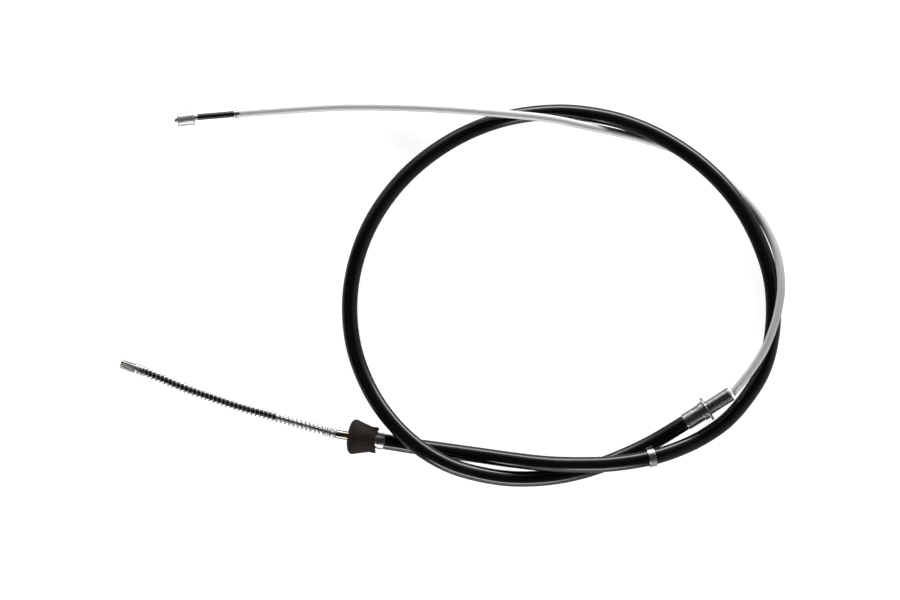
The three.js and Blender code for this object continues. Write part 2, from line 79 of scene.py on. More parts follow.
LEVER_END_POINTS = [
    (158.6, -58.0, 8.4), (162.0, -55.6, 8.7), (167.8, -48.8, 9.3), (174.1, -40.5, 10.2),
    (179.4, -31.9, 11.2), (184.2, -20.4, 11.8), (187.5, -8.9, 11.6), (189.1, 2.6, 10.2),
    (188.6, 14.1, 8.0), (186.1, 25.6, 5.6), (181.2, 37.1, 3.6), (173.9, 48.6, 2.6), (163.2, 60.1, 2.5),
    (154.0, 68.5, 2.5), (142.5, 76.2, 2.5), (131.0, 82.0, 2.5), (119.5, 86.2, 2.6), (108.0, 89.7, 3.1),
    (96.5, 92.6, 4.7), (85.0, 95.1, 7.1), (73.5, 97.6, 9.3), (62.0, 100.1, 11.0), (50.5, 101.9, 11.8),
    (39.0, 103.1, 11.8), (27.5, 104.2, 11.0), (16.0, 105.1, 9.7), (-1.3, 106.4, 7.3), (-21.4, 107.4, 5.0),
    (-41.5, 107.9, 3.4), (-61.7, 107.9, 2.6), (-81.8, 107.0, 2.5), (-101.9, 105.6, 2.6),
    (-115.1, 104.7, 3.0), (-122.0, 104.1, 3.3), (-134.7, 103.0, 3.8), (-144.5, 102.2, 4.2),
    (-147.6, 101.8, 4.3), (-159.7, 100.2, 4.3),
]

# Sizes in millimetres. The distances are along the route, from the wire's brake end.
WIRE_DIAMETER = 2.8
WIRE_STRANDS = 12
WIRE_LAY_LENGTH = 26
WIRE_GROOVE_DEPTH = 0.16
BRAKE_WIRE_HIDDEN = 6
LEVER_WIRE_HIDDEN = 4
ROUTE_LENGTH = 1562.05
BRAKE_NIPPLE_LENGTH = 9.2
BRAKE_NIPPLE_DIAMETER = 6.0
BRAKE_NIPPLE_RIBS = 10
BRAKE_NIPPLE_RIB_DEPTH = 0.42
BRAKE_NIPPLE_RIB_SHARPNESS = 0.7
BRAKE_NIPPLE_PLAIN_END = 0.8
BRAKE_NIPPLE_WAIST = 0.02
BRAKE_NIPPLE_WAIST_FROM = 2.6
BRAKE_NIPPLE_WAIST_TO = 5.2
SPRING_START = 9.5
SPRING_END = 129.0
SPRING_WIRE_DIAMETER = 0.9
SPRING_MEAN_DIAMETER = 4.8
SPRING_CLOSED_TURNS = 3.5
SPRING_CLOSED_PITCH = 1.4
SPRING_OPEN_TURNS = 43
BRAKE_SLEEVE_FROM = 12.2
BRAKE_SLEEVE_TO = 95.2
BRAKE_SLEEVE_DIAMETER = 3.5
WASHER_FROM = 129.3
WASHER_TO = 130.3
WASHER_DIAMETER = 6.0
WASHER_BORE = 3.2
GUIDE_TUBE_FROM = 130.6
GUIDE_TUBE_TO = 153.0
GUIDE_TUBE_DIAMETER = 5.0
GUIDE_TUBE_WALL = 0.6
GROMMET_FROM = 137.8
GROMMET_LENGTH = 17.3
GROMMET_DIAMETER = 20.4
GROMMET_FACE_BULGE = 2.4
GROMMET_NECK_DIAMETER = 14.6
GROMMET_LIP_DIAMETER = 15.4
GROMMET_LIP_LENGTH = 2.2
GROMMET_LIP_WALL = 1.6
GROMMET_CAVITY_DEPTH = 5.5
GROMMET_SCALLOP = 2.4
GROMMET_FACE = [(0.4, 6.1), (GROMMET_FACE_BULGE / 2, 8.55), (GROMMET_FACE_BULGE, 9.85)]
GROMMET_CONE = [(6.5, 9.35), (10.5, 8.2)]
BRAKE_FERRULE_FROM = 151.8
BRAKE_FERRULE_LENGTH = 6.9
BRAKE_FERRULE_DIAMETER = 9.7
BRAKE_FERRULE_RIM_DIAMETER = 10.4
BRAKE_FERRULE_RIM_LENGTH = 1.6
FERRULE_END_WALL = 1.2
JACKET_FROM = 159.0
JACKET_TO = 1062.7
JACKET_DIAMETER = 9.0
JACKET_WALL = 0.8
ARMOUR_FROM = 153.3
ARMOUR_TO = 1072.5
ARMOUR_DIAMETER = 7.1
ARMOUR_WIRES = 16
ARMOUR_LAY_LENGTH = 60
ARMOUR_GROOVE_DEPTH = 0.25
BAND_MIDDLE = 315.1
BAND_WIDTH = 4.2
BAND_BORE = 9.5
BAND_DIAMETER = 10.6
LEVER_FERRULE_FROM = 1063.0
LEVER_FERRULE_CRIMP_LENGTH = 11.0
LEVER_FERRULE_DIAMETER = 9.9
LEVER_FERRULE_COLLAR_LENGTH = 2.7
LEVER_FERRULE_COLLAR_DIAMETER = 10.8
LEVER_FERRULE_WIRE_BORE = 6.0
LEVER_FERRULE_CRIMP_AT = 8.2
LEVER_FERRULE_CRIMP_REACH = 1.5
LEVER_FERRULE_CRIMP_DEPTH = 0.28
FLANGE_FROM = 1077.0
FLANGE_THICKNESS = 1.1
FLANGE_DIAMETER = 14.6
LEVER_TUBE_FROM = 1074.3
LEVER_TUBE_TO = 1093.7
LEVER_TUBE_DIAMETER = 8.3
LEVER_TUBE_WALL = 0.75
BUSH_FROM = 1088.7
BUSH_HEAD_FROM = 1094.0
BUSH_TO = 1095.3
BUSH_DIAMETER = 7.7
BUSH_STEM_DIAMETER = 6.4
BUSH_BORE = 5.96
COATING_FROM = 163.3
COATING_TO = 1524.35
COATING_DIAMETER = 4.6
COLLAR_FROM = 1524.65
COLLAR_LENGTH = 2.8
COLLAR_DIAMETER = 4.9
COLLAR_GROOVES_AT = (0.85, 1.95)
COLLAR_GROOVE_REACH = 0.22
COLLAR_GROOVE_DEPTH = 0.35
LEVER_SLEEVE_FROM = 1527.75
LEVER_SLEEVE_TO = 1548.75
LEVER_SLEEVE_DIAMETER = 3.6
LEVER_NIPPLE_FROM = 1550.45
LEVER_NIPPLE_LENGTH = 9.9
LEVER_NIPPLE_DIAMETER = 7.6
LEVER_NIPPLE_RIM_DIAMETER = 8.2
LEVER_NIPPLE_RIM_LENGTH = 1.4
LEVER_NIPPLE_COUNTERSINK = 0.5
LEVER_NIPPLE_CHAMFER = 0.5

# How far surfaces that fit together stand apart, and how deep the band grips the jacket
CLOSE_FIT = 0.02
TUBE_FIT = 0.05
ARMOUR_FIT = 0.15
BAND_GRIP = 0.2

# How finely the pieces are made
CORD_SIDES = 48
CORD_STEP = 2.5
COATING_SIDES = 36
COATING_STEP = 2.0
HIDDEN_COATING_SIDES = 16
HIDDEN_COATING_STEP = 4.0
SLEEVE_STEP = 1.5
BRAKE_SLEEVE_SIDES = 32
LEVER_SLEEVE_SIDES = 36
WIRE_STEP = 0.7
SIDES_PER_STRAND = 6
ARMOUR_STEP = 4.0
SIDES_PER_ARMOUR_WIRE = 4
SPRING_STEPS_PER_TURN = 24
SPRING_WIRE_SIDES = 10
TURNED_SIDES = 64
WIDE_TURNED_SIDES = 96
RIBBED_SIDES = 120
ARC_STEPS = 4
CORD_SHARP_ANGLE = math.radians(50)
TURNED_SHARP_ANGLE = math.radians(60)

# The direction of the route is taken over this reach to each side, and this far from its ends at least
DIRECTION_REACH = 0.4
END_MARGIN = 0.5

# Camera
camera_data = bpy.data.cameras.new("camera")
camera_data.type = "ORTHO"
camera_data.ortho_scale = PICTURE_WIDTH * PIXEL
camera = bpy.data.objects.new("camera", camera_data)
camera.location = (
    (PICTURE_WIDTH / 2 - CENTRE_PIXEL[0]) * PIXEL,
    (CENTRE_PIXEL[1] - PICTURE_HEIGHT / 2) * PIXEL,
    CAMERA_HEIGHT,
)
bpy.context.scene.collection.objects.link(camera)
bpy.context.scene.camera = camera


# The route as a smooth curve through the points, the same as the part's
def smooth_curve(points, steps=40):
    points = np.asarray(points, float)
    points = np.vstack([2 * points[0] - points[1], points, 2 * points[-1] - points[-2]])
    pieces = []
    for i in range(1, len(points) - 2):
        p0, p1, p2, p3 = points[i - 1 : i + 3]
        d0, d1, d2 = (np.linalg.norm(b - a) ** 0.5 for a, b in ((p0, p1), (p1, p2), (p2, p3)))
        m1 = ((p1 - p0) / d0 - (p2 - p0) / (d0 + d1) + (p2 - p1) / d1) * d1
        m2 = ((p2 - p1) / d1 - (p3 - p1) / (d1 + d2) + (p3 - p2) / d2) * d1
        t = np.linspace(0, 1, steps, endpoint=False)[:, None]
        start = (2 * t**3 - 3 * t**2 + 1) * p1 + (t**3 - 2 * t**2 + t) * m1
        end = (3 * t**2 - 2 * t**3) * p2 + (t**3 - t**2) * m2
        pieces.append(start + end)
    pieces.append(points[-2:-1])
    return np.vstack(pieces)


route = smooth_curve(BRAKE_END_POINTS + CONDUIT_POINTS + LEVER_END_POINTS)
route_at = np.concatenate([[0], np.cumsum(np.linalg.norm(np.diff(route, axis=0), axis=1))])


def point_at(distance):
    return np.stack([np.interp(distance, route_at, route[:, k]) for k in range(3)], axis=-1)


def unit(vectors):
    return vectors / np.linalg.norm(vectors, axis=-1, keepdims=True)


def frames_along(distances):
    """Points on the route with their directions along, to the side and up."""
    distances = np.asarray(distances, float)
    inside = np.clip(distances, END_MARGIN, route_at[-1] - END_MARGIN)
    along = unit(point_at(inside + DIRECTION_REACH) - point_at(inside - DIRECTION_REACH))
    side = unit(np.cross((0.0, 0.0, 1.0), along))
    return point_at(distances), along, side, np.cross(along, side)


def straight_frames(middle, distances):
    """The same for a rigid piece, which is straight and lies on the route at its middle."""
    distances = np.asarray(distances, float)
    point, along, side, up = frames_along([middle])
    points = point + (distances - middle)[:, None] * along
    count = len(distances)
    return points, np.repeat(along, count, 0), np.repeat(side, count, 0), np.repeat(up, count, 0)


def add_mesh(name, vertices, faces, uvs, sharp_angle=None):
    mesh = bpy.data.meshes.new(name)
    mesh.from_pydata((np.asarray(vertices) * MM).tolist(), [], faces)
    layer = mesh.uv_layers.new(name="surface")
    layer.data.foreach_set("uv", np.asarray(uvs, np.float32).ravel())
    mesh.polygons.foreach_set("use_smooth", [True] * len(faces))
    mesh.update()
    if sharp_angle is not None:
        mesh.set_sharp_from_angle(angle=sharp_angle)
    obj = bpy.data.objects.new(name, mesh)
    bpy.context.scene.collection.objects.link(obj)
    return obj


def rings_mesh(name, rings, lengths, around, closed=False, sharp_angle=None):
    """A skin over rings of points. Its surface coordinates are millimetres along and around it."""
    count, sides = rings.shape[:2]
    vertices = rings.reshape(-1, 3)
    faces = []
    uvs = []
    spans = count if closed else count - 1
    for k in range(spans):
        after = (k + 1) % count
        far = lengths[k + 1] if k + 1 < len(lengths) else lengths[k] + 1
        for i in range(sides):
            j = (i + 1) % sides
            faces.append((k * sides + i, k * sides + j, after * sides + j, after * sides + i))
            near_v, far_v = around * i / sides, around * (i + 1) / sides
            uvs += [(lengths[k], near_v), (lengths[k], far_v), (far, far_v), (far, near_v)]
    if not closed:
        for ring, turned_round in ((0, True), (count - 1, False)):
            loop = [ring * sides + i for i in range(sides)]
            faces.append(tuple(reversed(loop)) if turned_round else tuple(loop))
            uvs += [(lengths[ring], around * i / sides) for i in range(sides)]
    return add_mesh(name, vertices, faces, uvs, sharp_angle)


def circles(frames, radii, sides):
    """Rings of points round each frame. radii has a number, or one number a side, for each frame."""
    points, along, side, up = frames
    radii = np.asarray(radii, float)
    if radii.ndim == 1:
        radii = np.repeat(radii[:, None], sides, axis=1)
    angle = 2 * np.pi * np.arange(sides) / sides
    outward = np.cos(angle)[None, :, None] * side[:, None] + np.sin(angle)[None, :, None] * up[:, None]
    return points[:, None] + radii[:, :, None] * outward


def round_cord(name, start, end, diameter, step=CORD_STEP, sides=CORD_SIDES, bore=None, dish=0.3):
    """A round cord or tube along the route. Its end faces are dished a little."""
    inner = np.arange(start + dish, end - dish, step)
    inset = dish * (1 - np.sin(np.linspace(0, np.pi / 2, ARC_STEPS, endpoint=False)))
    distances = np.concatenate([start + inset, inner, end - inset[::-1]])
    radii = np.full(len(distances), diameter / 2)
    radii[:ARC_STEPS] -= inset
    radii[-ARC_STEPS:] -= inset[::-1]
    if bore is None:
        rings = circles(frames_along(distances), radii, sides)
        return rings_mesh(name, rings, distances, np.pi * diameter, sharp_angle=CORD_SHARP_ANGLE)
    back = distances[::-1]
    every = np.concatenate([distances, back])
    radii = np.concatenate([radii, np.full(len(back), bore / 2)])
    rings = circles(frames_along(every), radii, sides)
    lengths = np.concatenate([distances, distances[-1] + (distances[-1] - back) + 5])
    return rings_mesh(name, rings, lengths, np.pi * diameter, closed=True, sharp_angle=CORD_SHARP_ANGLE)


def rounded(outline, size=0.25, hold=0.06):
    """An outline of (distance, radius) with its corners rounded, and held flat between them."""
    outline = [np.array(p, float) for p in outline]
    result = []
    for k, corner in enumerate(outline):
        before, after = outline[k - 1], outline[(k + 1) % len(outline)]
        back, ahead = before - corner, after - corner
        reach = min(size, 0.4 * np.linalg.norm(back), 0.4 * np.linalg.norm(ahead))
        a, b = corner + unit(back) * reach, corner + unit(ahead) * reach
        result.append(a + unit(back) * hold * reach / size)
        for t in np.linspace(0, 1, ARC_STEPS + 1):
            result.append((1 - t) ** 2 * a + 2 * t * (1 - t) * corner + t**2 * b)
        result.append(b + unit(ahead) * hold * reach / size)
    return np.array(result)


def turned(name, outline, start, length, size=0.25, shape=None, sides=TURNED_SIDES):
    """A ring turned about the route's direction at its middle. Outline distances are from its start."""
    profile = rounded(outline, size)
    middle = start + length / 2
    frames = straight_frames(middle, start + profile[:, 0])
    radii = np.repeat(profile[:, 1:], sides, axis=1)
    angle = 2 * np.pi * np.arange(sides) / sides
    shift = np.zeros_like(radii)
    if shape is not None:
        radii, shift = shape(profile[:, :1], radii, angle[None, :])
    rings = circles(frames, radii, sides) + shift[:, :, None] * frames[1][:, None]
    steps = np.linalg.norm(np.diff(profile, axis=0), axis=1)
    lengths = np.concatenate([[0], np.cumsum(steps)])
    around = 2 * np.pi * np.max(profile[:, 1])
    return rings_mesh(name, rings, lengths, around, closed=True, sharp_angle=TURNED_SHARP_ANGLE)


# Materials
NOISE_ROUGHNESS = 0.55


class Shader:
    """Builds a material's node tree. The patterns' scales are per millimetre along and around."""

    def __init__(self, name):
        self.material = bpy.data.materials.new(name)
        self.material.use_nodes = True
        self.tree = self.material.node_tree
        self.nodes = self.tree.nodes
        self.surface = self.nodes["Principled BSDF"]

    def node(self, kind, **settings):
        node = self.nodes.new(kind)
        for key, value in settings.items():
            setattr(node, key, value)
        return node

    def link(self, source, target):
        self.tree.links.new(source, target)

    def set(self, **values):
        for key, value in values.items():
            name = key.replace("_", " ")
            self.surface.inputs[name].default_value = value

    def coordinates(self, scale):
        source = self.node("ShaderNodeTexCoord").outputs["UV"]
        mapping = self.node("ShaderNodeMapping")
        mapping.inputs["Scale"].default_value = scale
        self.link(source, mapping.inputs["Vector"])
        return mapping.outputs["Vector"]

    def noise(self, scale, detail):
        noise = self.node("ShaderNodeTexNoise")
        noise.inputs["Scale"].default_value = 1.0
        noise.inputs["Detail"].default_value = detail
        noise.inputs["Roughness"].default_value = NOISE_ROUGHNESS
        self.link(self.coordinates(scale), noise.inputs["Vector"])
        return noise.outputs["Fac"]

    def ramp(self, factor, stops):
        ramp = self.node("ShaderNodeValToRGB")
        elements = ramp.color_ramp.elements
        while len(elements) < len(stops):
            elements.new(0.5)
        for element, (position, colour) in zip(elements, stops):
            element.position = position
            element.color = (*colour, 1.0)
        self.link(factor, ramp.inputs["Fac"])
        return ramp.outputs["Color"]

    def range(self, factor, low, high, start=0.3, end=0.7):
        node = self.node("ShaderNodeMapRange")
        node.inputs["From Min"].default_value = start
        node.inputs["From Max"].default_value = end
        node.inputs["To Min"].default_value = low
        node.inputs["To Max"].default_value = high
        self.link(factor, node.inputs["Value"])
        return node.outputs["Result"]

    def bump(self, height, strength, distance):
        bump = self.node("ShaderNodeBump")
        bump.inputs["Strength"].default_value = strength
        bump.inputs["Distance"].default_value = distance
        self.link(height, bump.inputs["Height"])
        self.link(bump.outputs["Normal"], self.surface.inputs["Normal"])


def grey(value, warmth=0.0):
    return (value * (1 + warmth), value, value * (1 - warmth))


def jacket_material():
    shader = Shader("black_jacket")
    shader.set(Roughness=0.36, Coat_Weight=1.0, Coat_Roughness=0.03)
    shader.surface.inputs["Specular IOR Level"].default_value = 0.15
    scuffs = shader.noise((0.02, 0.8, 1.0), detail=6.0)
    colour = shader.ramp(scuffs, [(0.35, (0.0016, 0.0012, 0.0011)), (0.75, (0.0042, 0.0032, 0.0030))])
    shader.link(colour, shader.surface.inputs["Base Color"])
    shader.link(shader.range(scuffs, 0.30, 0.42), shader.surface.inputs["Roughness"])
    grain = shader.noise((0.12, 1.2, 1.0), detail=3.0)
    shader.bump(grain, 0.12, 0.00008)
    return shader.material


def metal_material(name, dark, light, roughness, streak=(0.3, 3.0, 1.0), bump=0.15, tint=0.0):
    shader = Shader(name)
    shader.set(Metallic=1.0, Roughness=roughness[0])
    streaks = shader.noise(streak, detail=6.0)
    colour = shader.ramp(streaks, [(0.3, grey(dark, tint)), (0.7, grey(light, tint))])
    shader.link(colour, shader.surface.inputs["Base Color"])
    shader.link(shader.range(streaks, *roughness), shader.surface.inputs["Roughness"])
    fine = shader.noise((streak[0] * 2.5, streak[1] * 1.5, 1.0), detail=5.0)
    shader.bump(fine, bump, 0.00015)
    return shader.material


def guide_tube_material():
    shader = Shader("guide_tube_steel")
    shader.set(Metallic=1.0, Roughness=0.34)
    along = shader.node("ShaderNodeSeparateXYZ")
    shader.link(shader.coordinates((1.0, 1.0, 1.0)), along.inputs["Vector"])
    patches = shader.noise((0.35, 0.35, 1.0), detail=6.0)
    plating = shader.ramp(patches, [(0.3, (0.24, 0.25, 0.22)), (0.7, (0.44, 0.45, 0.42))])
    rust = shader.ramp(patches, [(0.3, (0.20, 0.12, 0.07)), (0.7, (0.42, 0.36, 0.30))])
    mix = shader.node("ShaderNodeMix", data_type="RGBA")
    reach = shader.range(along.outputs["X"], 0.0, 1.0, 3.0, 7.5)
    shader.link(reach, mix.inputs["Factor"])
    shader.link(plating, mix.inputs["A"])
    shader.link(rust, mix.inputs["B"])
    shader.link(mix.outputs["Result"], shader.surface.inputs["Base Color"])
    shader.link(shader.range(patches, 0.20, 0.32), shader.surface.inputs["Roughness"])
    shader.bump(patches, 0.15, 0.0001)
    return shader.material


def rubber_material():
    shader = Shader("grommet_rubber")
    shader.surface.inputs["Specular IOR Level"].default_value = 0.22
    mottling = shader.noise((0.5, 0.5, 1.0), detail=6.0)
    colour = shader.ramp(mottling, [(0.32, (0.0040, 0.0027, 0.0022)), (0.68, (0.0165, 0.0120, 0.0098))])
    shader.link(colour, shader.surface.inputs["Base Color"])
    shader.link(shader.range(mottling, 0.62, 0.8), shader.surface.inputs["Roughness"])
    pores = shader.noise((2.2, 2.2, 1.0), detail=4.0)
    shader.bump(pores, 0.35, 0.00025)
    return shader.material


def plastic_material(name, dark, light, roughness, scale=(0.4, 1.6, 1.0), bump=0.2, coat=0.0):
    shader = Shader(name)
    shader.set(Coat_Weight=coat, Coat_Roughness=0.12)
    marks = shader.noise(scale, detail=6.0)
    colour = shader.ramp(marks, [(0.3, dark), (0.7, light)])
    shader.link(colour, shader.surface.inputs["Base Color"])
    shader.link(shader.range(marks, *roughness), shader.surface.inputs["Roughness"])
    shader.bump(marks, bump, 0.00012)
    return shader.material


black_jacket = jacket_material()
bright_steel = metal_material(
    "bright_steel", 0.46, 0.86, (0.24, 0.34), streak=(0.9, 2.4, 1.0), bump=0.22, tint=0.03
)
smooth_steel = metal_material(
    "smooth_steel", 0.50, 0.84, (0.20, 0.29), streak=(0.8, 2.4, 1.0), bump=0.18, tint=0.03
)
nipple_steel = metal_material("nipple_steel", 0.70, 0.95, (0.44, 0.54), streak=(2.0, 0.4, 1.0), bump=0.35)
zinc_steel = metal_material("zinc_steel", 0.45, 0.68, (0.36, 0.48), tint=0.03)
spring_steel = metal_material("spring_steel", 0.55, 0.78, (0.25, 0.36), streak=(0.8, 3.0, 1.0), bump=0.08)
wire_steel = metal_material(
    "wire_steel", 0.34, 0.52, (0.30, 0.45), streak=(1.2, 2.0, 1.0), bump=0.08, tint=-0.05
)
tube_steel = guide_tube_material()
rubber = rubber_material()
black_sleeve = plastic_material(
    "black_sleeve", (0.0028, 0.0020, 0.0020), (0.0070, 0.0052, 0.0052), (0.24, 0.36)
)
pale_coating = plastic_material(
    "pale_coating", (0.34, 0.34, 0.35), (0.395, 0.395, 0.405), (0.30, 0.42), (0.05, 1.0, 1.0), 0.08, 0.4
)
white_bush = plastic_material("white_bush", (0.66, 0.67, 0.68), (0.80, 0.81, 0.82), (0.35, 0.5))


def finish_piece(obj, material, nodes, body=None):
    obj.data.materials.append(material)
    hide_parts(*nodes)
    if body is not None:
        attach(obj, body)
    return obj


# The conduit, a free cord from the brake ferrule to the lever end's ferrule
jacket_bore = JACKET_DIAMETER - 2 * JACKET_WALL
jacket = round_cord("jacket", JACKET_FROM, JACKET_TO, JACKET_DIAMETER, bore=jacket_bore, dish=0.35)
finish_piece(jacket, black_jacket, ["conduit_jacket"], "conduit")


def wound_cord(name, start, end, diameter, strands, lay, depth, step, sides_per_strand):
    """Round wires laid side by side round the route, as one skin with a groove between the wires."""
    distances = np.append(np.arange(start, end, step), end)
    sides = strands * sides_per_strand
    angle = 2 * np.pi * np.arange(sides) / sides
    turn = 2 * np.pi * distances[:, None] / lay
    lobe = np.abs(np.cos(strands * (angle[None, :] - turn) / 2))
    radii = diameter / 2 - depth * (1 - lobe**0.6)
    return rings_mesh(
        name, circles(frames_along(distances), radii, sides), distances, np.pi * diameter
    )


armour = wound_cord(
    "armour", ARMOUR_FROM, ARMOUR_TO, ARMOUR_DIAMETER, ARMOUR_WIRES, ARMOUR_LAY_LENGTH,
    ARMOUR_GROOVE_DEPTH, ARMOUR_STEP, SIDES_PER_ARMOUR_WIRE,
)
finish_piece(armour, wire_steel, ["conduit_armour", "conduit_liner"], "conduit")


# The inner wire, in a piece for each end that is in sight
def inner_wire(name, start, end):
    return wound_cord(
        name, start, end, WIRE_DIAMETER, WIRE_STRANDS, WIRE_LAY_LENGTH,
        WIRE_GROOVE_DEPTH, WIRE_STEP, SIDES_PER_STRAND,
    )


brake_wire_to = BRAKE_FERRULE_FROM + BRAKE_WIRE_HIDDEN
brake_wire = inner_wire("brake_end_wire", 0.0, brake_wire_to)
lever_wire = inner_wire("lever_end_wire", COLLAR_FROM - LEVER_WIRE_HIDDEN, ROUTE_LENGTH)
finish_piece(brake_wire, wire_steel, ["inner_wire"])
finish_piece(lever_wire, wire_steel, ["inner_wire"], "lever_end")
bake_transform(brake_wire)

brake_sleeve = round_cord(
    "brake_sleeve", BRAKE_SLEEVE_FROM, BRAKE_SLEEVE_TO, BRAKE_SLEEVE_DIAMETER,
    SLEEVE_STEP, BRAKE_SLEEVE_SIDES, dish=0.2,
)
finish_piece(brake_sleeve, black_sleeve, ["brake_end_wire_sleeve"])
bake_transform(brake_sleeve)


# The return spring
def spring():
    closed = SPRING_CLOSED_TURNS * SPRING_CLOSED_PITCH
    first = SPRING_START + SPRING_WIRE_DIAMETER / 2
    last = SPRING_END - SPRING_WIRE_DIAMETER / 2
    open_pitch = (last - first - 2 * closed) / SPRING_OPEN_TURNS
    turns = 2 * SPRING_CLOSED_TURNS + SPRING_OPEN_TURNS
    turn = np.linspace(0, turns, int(turns * SPRING_STEPS_PER_TURN) + 1)
    opened = np.clip(turn - SPRING_CLOSED_TURNS, 0, SPRING_OPEN_TURNS)
    distance = first + (turn - opened) * SPRING_CLOSED_PITCH + opened * open_pitch
    points, along, side, up = frames_along(distance)
    angle = (2 * np.pi * turn)[:, None]
    outward = np.cos(angle) * side + np.sin(angle) * up
    centre = points + outward * SPRING_MEAN_DIAMETER / 2
    forward = unit(np.gradient(centre, axis=0))
    across = np.cross(forward, outward)
    radii = np.full(len(turn), SPRING_WIRE_DIAMETER / 2)
    rings = circles((centre, forward, outward, across), radii, SPRING_WIRE_SIDES)
    length = turn * math.pi * SPRING_MEAN_DIAMETER
    return rings_mesh("return_spring_coil", rings, length, np.pi * SPRING_WIRE_DIAMETER)


coil = spring()
finish_piece(coil, spring_steel, ["return_spring"], "conduit")
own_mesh(coil)


# The fittings at the brake end
def crimped(distance, radii, angle):
    ribs = np.abs(np.cos(BRAKE_NIPPLE_RIBS * angle / 2)) ** BRAKE_NIPPLE_RIB_SHARPNESS
    outer = radii > WIRE_DIAMETER / 2 + 0.5
    from_end = np.minimum(distance, BRAKE_NIPPLE_LENGTH - distance)
    ends = np.clip(from_end / BRAKE_NIPPLE_PLAIN_END, 0.3, 1)
    radii = np.where(outer, radii - BRAKE_NIPPLE_RIB_DEPTH * (1 - ribs) * ends, radii)
    return radii, np.zeros_like(radii)


nipple_bore = WIRE_DIAMETER / 2 + CLOSE_FIT
brake_nipple_radius = BRAKE_NIPPLE_DIAMETER / 2
brake_nipple = turned(
    "brake_nipple",
    [(0, nipple_bore), (0, brake_nipple_radius),
     (BRAKE_NIPPLE_WAIST_FROM, brake_nipple_radius - BRAKE_NIPPLE_WAIST),
     (BRAKE_NIPPLE_WAIST_TO, brake_nipple_radius), (BRAKE_NIPPLE_LENGTH, brake_nipple_radius),
     (BRAKE_NIPPLE_LENGTH, nipple_bore)],
    0.0, BRAKE_NIPPLE_LENGTH, 0.35, crimped, RIBBED_SIDES,
)
finish_piece(brake_nipple, zinc_steel, ["brake_end_nipple"], "brake_end")

washer_length = WASHER_TO - WASHER_FROM
washer = turned(
    "washer",
    [(0, WASHER_BORE / 2), (0, WASHER_DIAMETER / 2), (washer_length, WASHER_DIAMETER / 2),
     (washer_length, WASHER_BORE / 2)],
    WASHER_FROM, washer_length, 0.2,
)
finish_piece(washer, zinc_steel, ["spring_seat_washer"], "conduit")

tube_length = GUIDE_TUBE_TO - GUIDE_TUBE_FROM
tube_radius = GUIDE_TUBE_DIAMETER / 2
guide_tube = turned(
    "brake_guide_tube",
    [(0, tube_radius - GUIDE_TUBE_WALL), (0, tube_radius), (tube_length, tube_radius),
     (tube_length, tube_radius - GUIDE_TUBE_WALL)],
    GUIDE_TUBE_FROM, tube_length, 0.25,
)
finish_piece(guide_tube, tube_steel, ["guide_tube"], "conduit")


def scalloped(distance, radii, angle):
    past = np.clip((distance - (GROMMET_LENGTH - GROMMET_LIP_LENGTH)) / GROMMET_LIP_LENGTH, 0, 1)
    outer = radii > GROMMET_LIP_DIAMETER / 2 - GROMMET_LIP_WALL - 0.1
    return radii, np.where(outer, -past * GROMMET_SCALLOP * np.sin(angle) ** 2, 0.0)


lip_from = GROMMET_LENGTH - GROMMET_LIP_LENGTH
lip_radius = GROMMET_LIP_DIAMETER / 2
grommet_radius = GROMMET_DIAMETER / 2
grommet_hole = tube_radius + CLOSE_FIT
cavity_from = GROMMET_LENGTH - GROMMET_CAVITY_DEPTH
grommet = turned(
    "grommet",
    [(0.05, grommet_hole), (0.02, grommet_hole + 1.2), *GROMMET_FACE,
     (GROMMET_FACE_BULGE + 1.5, grommet_radius - CLOSE_FIT), *GROMMET_CONE,
     (lip_from - 1.2, GROMMET_NECK_DIAMETER / 2), (lip_from + 0.9, lip_radius - 0.05),
     (GROMMET_LENGTH - 0.1, lip_radius - 0.3), (GROMMET_LENGTH, lip_radius - GROMMET_LIP_WALL),
     (cavity_from, lip_radius - GROMMET_LIP_WALL), (cavity_from, grommet_hole)],
    GROMMET_FROM, GROMMET_LENGTH, 0.9, scalloped, WIDE_TURNED_SIDES,
)
finish_piece(grommet, rubber, ["rubber_grommet"], "conduit")

ferrule_radius = BRAKE_FERRULE_DIAMETER / 2
ferrule_rim = BRAKE_FERRULE_RIM_DIAMETER / 2
ferrule_bore = ARMOUR_DIAMETER / 2 + ARMOUR_FIT
brake_ferrule = turned(
    "brake_ferrule",
    [(0, tube_radius + TUBE_FIT), (0, ferrule_rim), (BRAKE_FERRULE_RIM_LENGTH, ferrule_rim),
     (BRAKE_FERRULE_RIM_LENGTH, ferrule_radius - 0.1), (BRAKE_FERRULE_LENGTH, ferrule_radius),
     (BRAKE_FERRULE_LENGTH, ferrule_bore), (FERRULE_END_WALL, ferrule_bore),
     (FERRULE_END_WALL, tube_radius + TUBE_FIT)],
    BRAKE_FERRULE_FROM, BRAKE_FERRULE_LENGTH, 0.4,
)
finish_piece(brake_ferrule, bright_steel, ["brake_end_ferrule"], "conduit")

# The marker band
band_outer, band_inner = BAND_DIAMETER / 2 - CLOSE_FIT, BAND_BORE / 2 - BAND_GRIP
band = turned(
    "band",
    [(0, band_inner), (0, band_outer), (BAND_WIDTH, band_outer), (BAND_WIDTH, band_inner)],
    BAND_MIDDLE - BAND_WIDTH / 2, BAND_WIDTH, 0.22,
)
finish_piece(band, bright_steel, ["marker_band"], "conduit")


# The fittings at the lever end
def crimp_marks(distance, radii, angle):
    on_crimp = np.exp(-(((distance - LEVER_FERRULE_CRIMP_AT) / LEVER_FERRULE_CRIMP_REACH) ** 2))
    flats = 1 - np.abs(np.cos(3 * angle))
    outer = radii > ARMOUR_DIAMETER / 2 + 0.9
    crimped_radii = radii - LEVER_FERRULE_CRIMP_DEPTH * on_crimp * flats
    return np.where(outer, crimped_radii, radii), np.zeros_like(radii)


